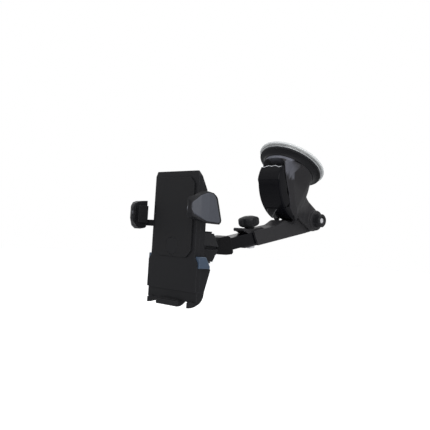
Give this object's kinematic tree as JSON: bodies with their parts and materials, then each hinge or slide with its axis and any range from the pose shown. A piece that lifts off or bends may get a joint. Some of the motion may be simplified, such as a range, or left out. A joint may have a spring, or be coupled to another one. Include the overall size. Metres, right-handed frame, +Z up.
{
  "type": "suction cup phone holder",
  "caption": "Suction base with a cam lever, a hinged telescopic arm, a ball joint and a clamp cradle with sprung side arms and a foot for a phone.",
  "frame": {"origin": "middle of the suction face, where the gel pad meets the glass", "axes": "-Y to the front, where the phone faces; +Z up; +X to the right seen from the front; the cradle stands upright and the suction face tilts 30 degrees towards +Y"},
  "size_m": [0.0912, 0.1942, 0.1464],
  "materials": {
    "satin_black": "satin",
    "gloss_black": "gloss",
    "charcoal": "satin",
    "panel_grey": "satin",
    "slate": "satin",
    "gel": "gloss",
    "rubber": "matte",
    "steel": "satin",
    "natural_plastic": "satin"
  },
  "bodies": {
    "base": {"suction_pad": "gel", "hard_cup": "satin_black", "base_housing": "charcoal", "base_cover": "gloss_black", "base_screws": "steel", "hinge_bolt": "steel", "friction_washers": "rubber"},
    "stem": {"pull_stem": "steel", "lever_pin": "steel"},
    "lever": {"suction_lever": "gloss_black"},
    "hinge_knob": {"hinge_knob": "satin_black"},
    "arm": {"outer_arm": "charcoal", "clamp_screw": "steel", "clamp_nut": "steel"},
    "clamp_knob": {"clamp_knob": "satin_black"},
    "slider": {"inner_arm": "gloss_black", "arm_head": "satin_black", "ball": "satin_black"},
    "tilt": {"socket_cup": "rubber"},
    "swing": {"socket_ring": "rubber"},
    "cradle": {"front_shell": "satin_black", "rear_shell": "satin_black", "face_pad": "rubber", "shell_screws": "steel", "pinion_axle": "steel", "pinion_spring": "steel", "button_spring": "steel"},
    "nut": {"ball_nut": "satin_black"},
    "button": {"push_button": "satin_black"},
    "right_clamp": {"right_arm": "satin_black", "right_arm_pad": "rubber", "right_arm_panel": "panel_grey"},
    "left_clamp": {"left_arm": "satin_black", "left_arm_pad": "rubber", "left_arm_panel": "panel_grey"},
    "gear": {"pinion": "natural_plastic"},
    "right_tab": {"right_release": "slate"},
    "left_tab": {"left_release": "slate"},
    "foot": {"foot": "satin_black", "foot_pads": "rubber"}
  },
  "joints": [
    {"name": "lever_open", "type": "hinge", "parent": "stem", "child": "lever", "pos_m": [0, -0.0216, -0.03741], "axis": [1, 0, 0], "range_deg": [0, 80.5]},
    {"name": "stem_pull", "type": "slide", "parent": "base", "child": "stem", "axis": [0, 0.5, 0.866], "range_m": [0, 0.002]},
    {"name": "arm_swing", "type": "hinge", "parent": "base", "child": "arm", "pos_m": [0, 0.02457, -0.05344], "axis": [1, 0, 0], "range_deg": [-4, 140]},
    {"name": "hinge_knob_turn", "type": "hinge", "parent": "base", "child": "hinge_knob", "pos_m": [0.018, 0.02457, -0.05344], "axis": [1, 0, 0], "continuous": true},
    {"name": "clamp_knob_turn", "type": "hinge", "parent": "arm", "child": "clamp_knob", "pos_m": [0, -0.05542, -0.06022], "axis": [0, -0.2079, 0.9781], "continuous": true},
    {"name": "arm_slide", "type": "slide", "parent": "arm", "child": "slider", "axis": [0, -0.9781, -0.2079], "range_m": [-0.01, 0.04]},
    {"name": "ball_pitch", "type": "hinge", "parent": "slider", "child": "tilt", "pos_m": [0, -0.11759, -0.08397], "axis": [1, 0, 0], "range_deg": [-20, 20]},
    {"name": "ball_yaw", "type": "hinge", "parent": "tilt", "child": "swing", "pos_m": [0, -0.11759, -0.08397], "axis": [0, 0, 1], "range_deg": [-20, 20]},
    {"name": "ball_roll", "type": "hinge", "parent": "swing", "child": "cradle", "pos_m": [0, -0.11759, -0.08397], "axis": [0, 1, 0], "continuous": true},
    {"name": "nut_turn", "type": "hinge", "parent": "cradle", "child": "nut", "pos_m": [0, -0.11759, -0.08397], "axis": [0, 1, 0], "continuous": true},
    {"name": "button_out", "type": "slide", "parent": "cradle", "child": "button", "axis": [0, -1, 0], "range_m": [0, 0.003]},
    {"name": "right_arm_slide", "type": "slide", "parent": "cradle", "child": "right_clamp", "axis": [1, 0, 0], "range_m": [-0.006, 0.0105]},
    {"name": "left_arm_slide", "type": "slide", "parent": "cradle", "child": "left_clamp", "axis": [1, 0, 0], "range_m": [-0.0106, 0.0061]},
    {"name": "pinion_turn", "type": "hinge", "parent": "cradle", "child": "gear", "pos_m": [0, -0.13859, -0.05697], "axis": [0, 1, 0], "range_deg": [-58, 101]},
    {"name": "right_release_press", "type": "slide", "parent": "cradle", "child": "right_tab", "axis": [-1, 0, 0], "range_m": [0, 0.002], "stiffness_N_per_m": 200},
    {"name": "left_release_press", "type": "slide", "parent": "cradle", "child": "left_tab", "axis": [1, 0, 0], "range_m": [0, 0.002], "stiffness_N_per_m": 200},
    {"name": "foot_pull", "type": "slide", "parent": "cradle", "child": "foot", "axis": [0, 0, -1], "range_m": [0, 0.012]}
  ],
  "couplings": [
    {"joint": "lever_open", "follows": "stem_pull", "rad_per_m": 698.13},
    {"joint": "left_arm_slide", "follows": "right_arm_slide", "ratio": -1},
    {"joint": "pinion_turn", "follows": "right_arm_slide", "rad_per_m": 166.67}
  ]
}
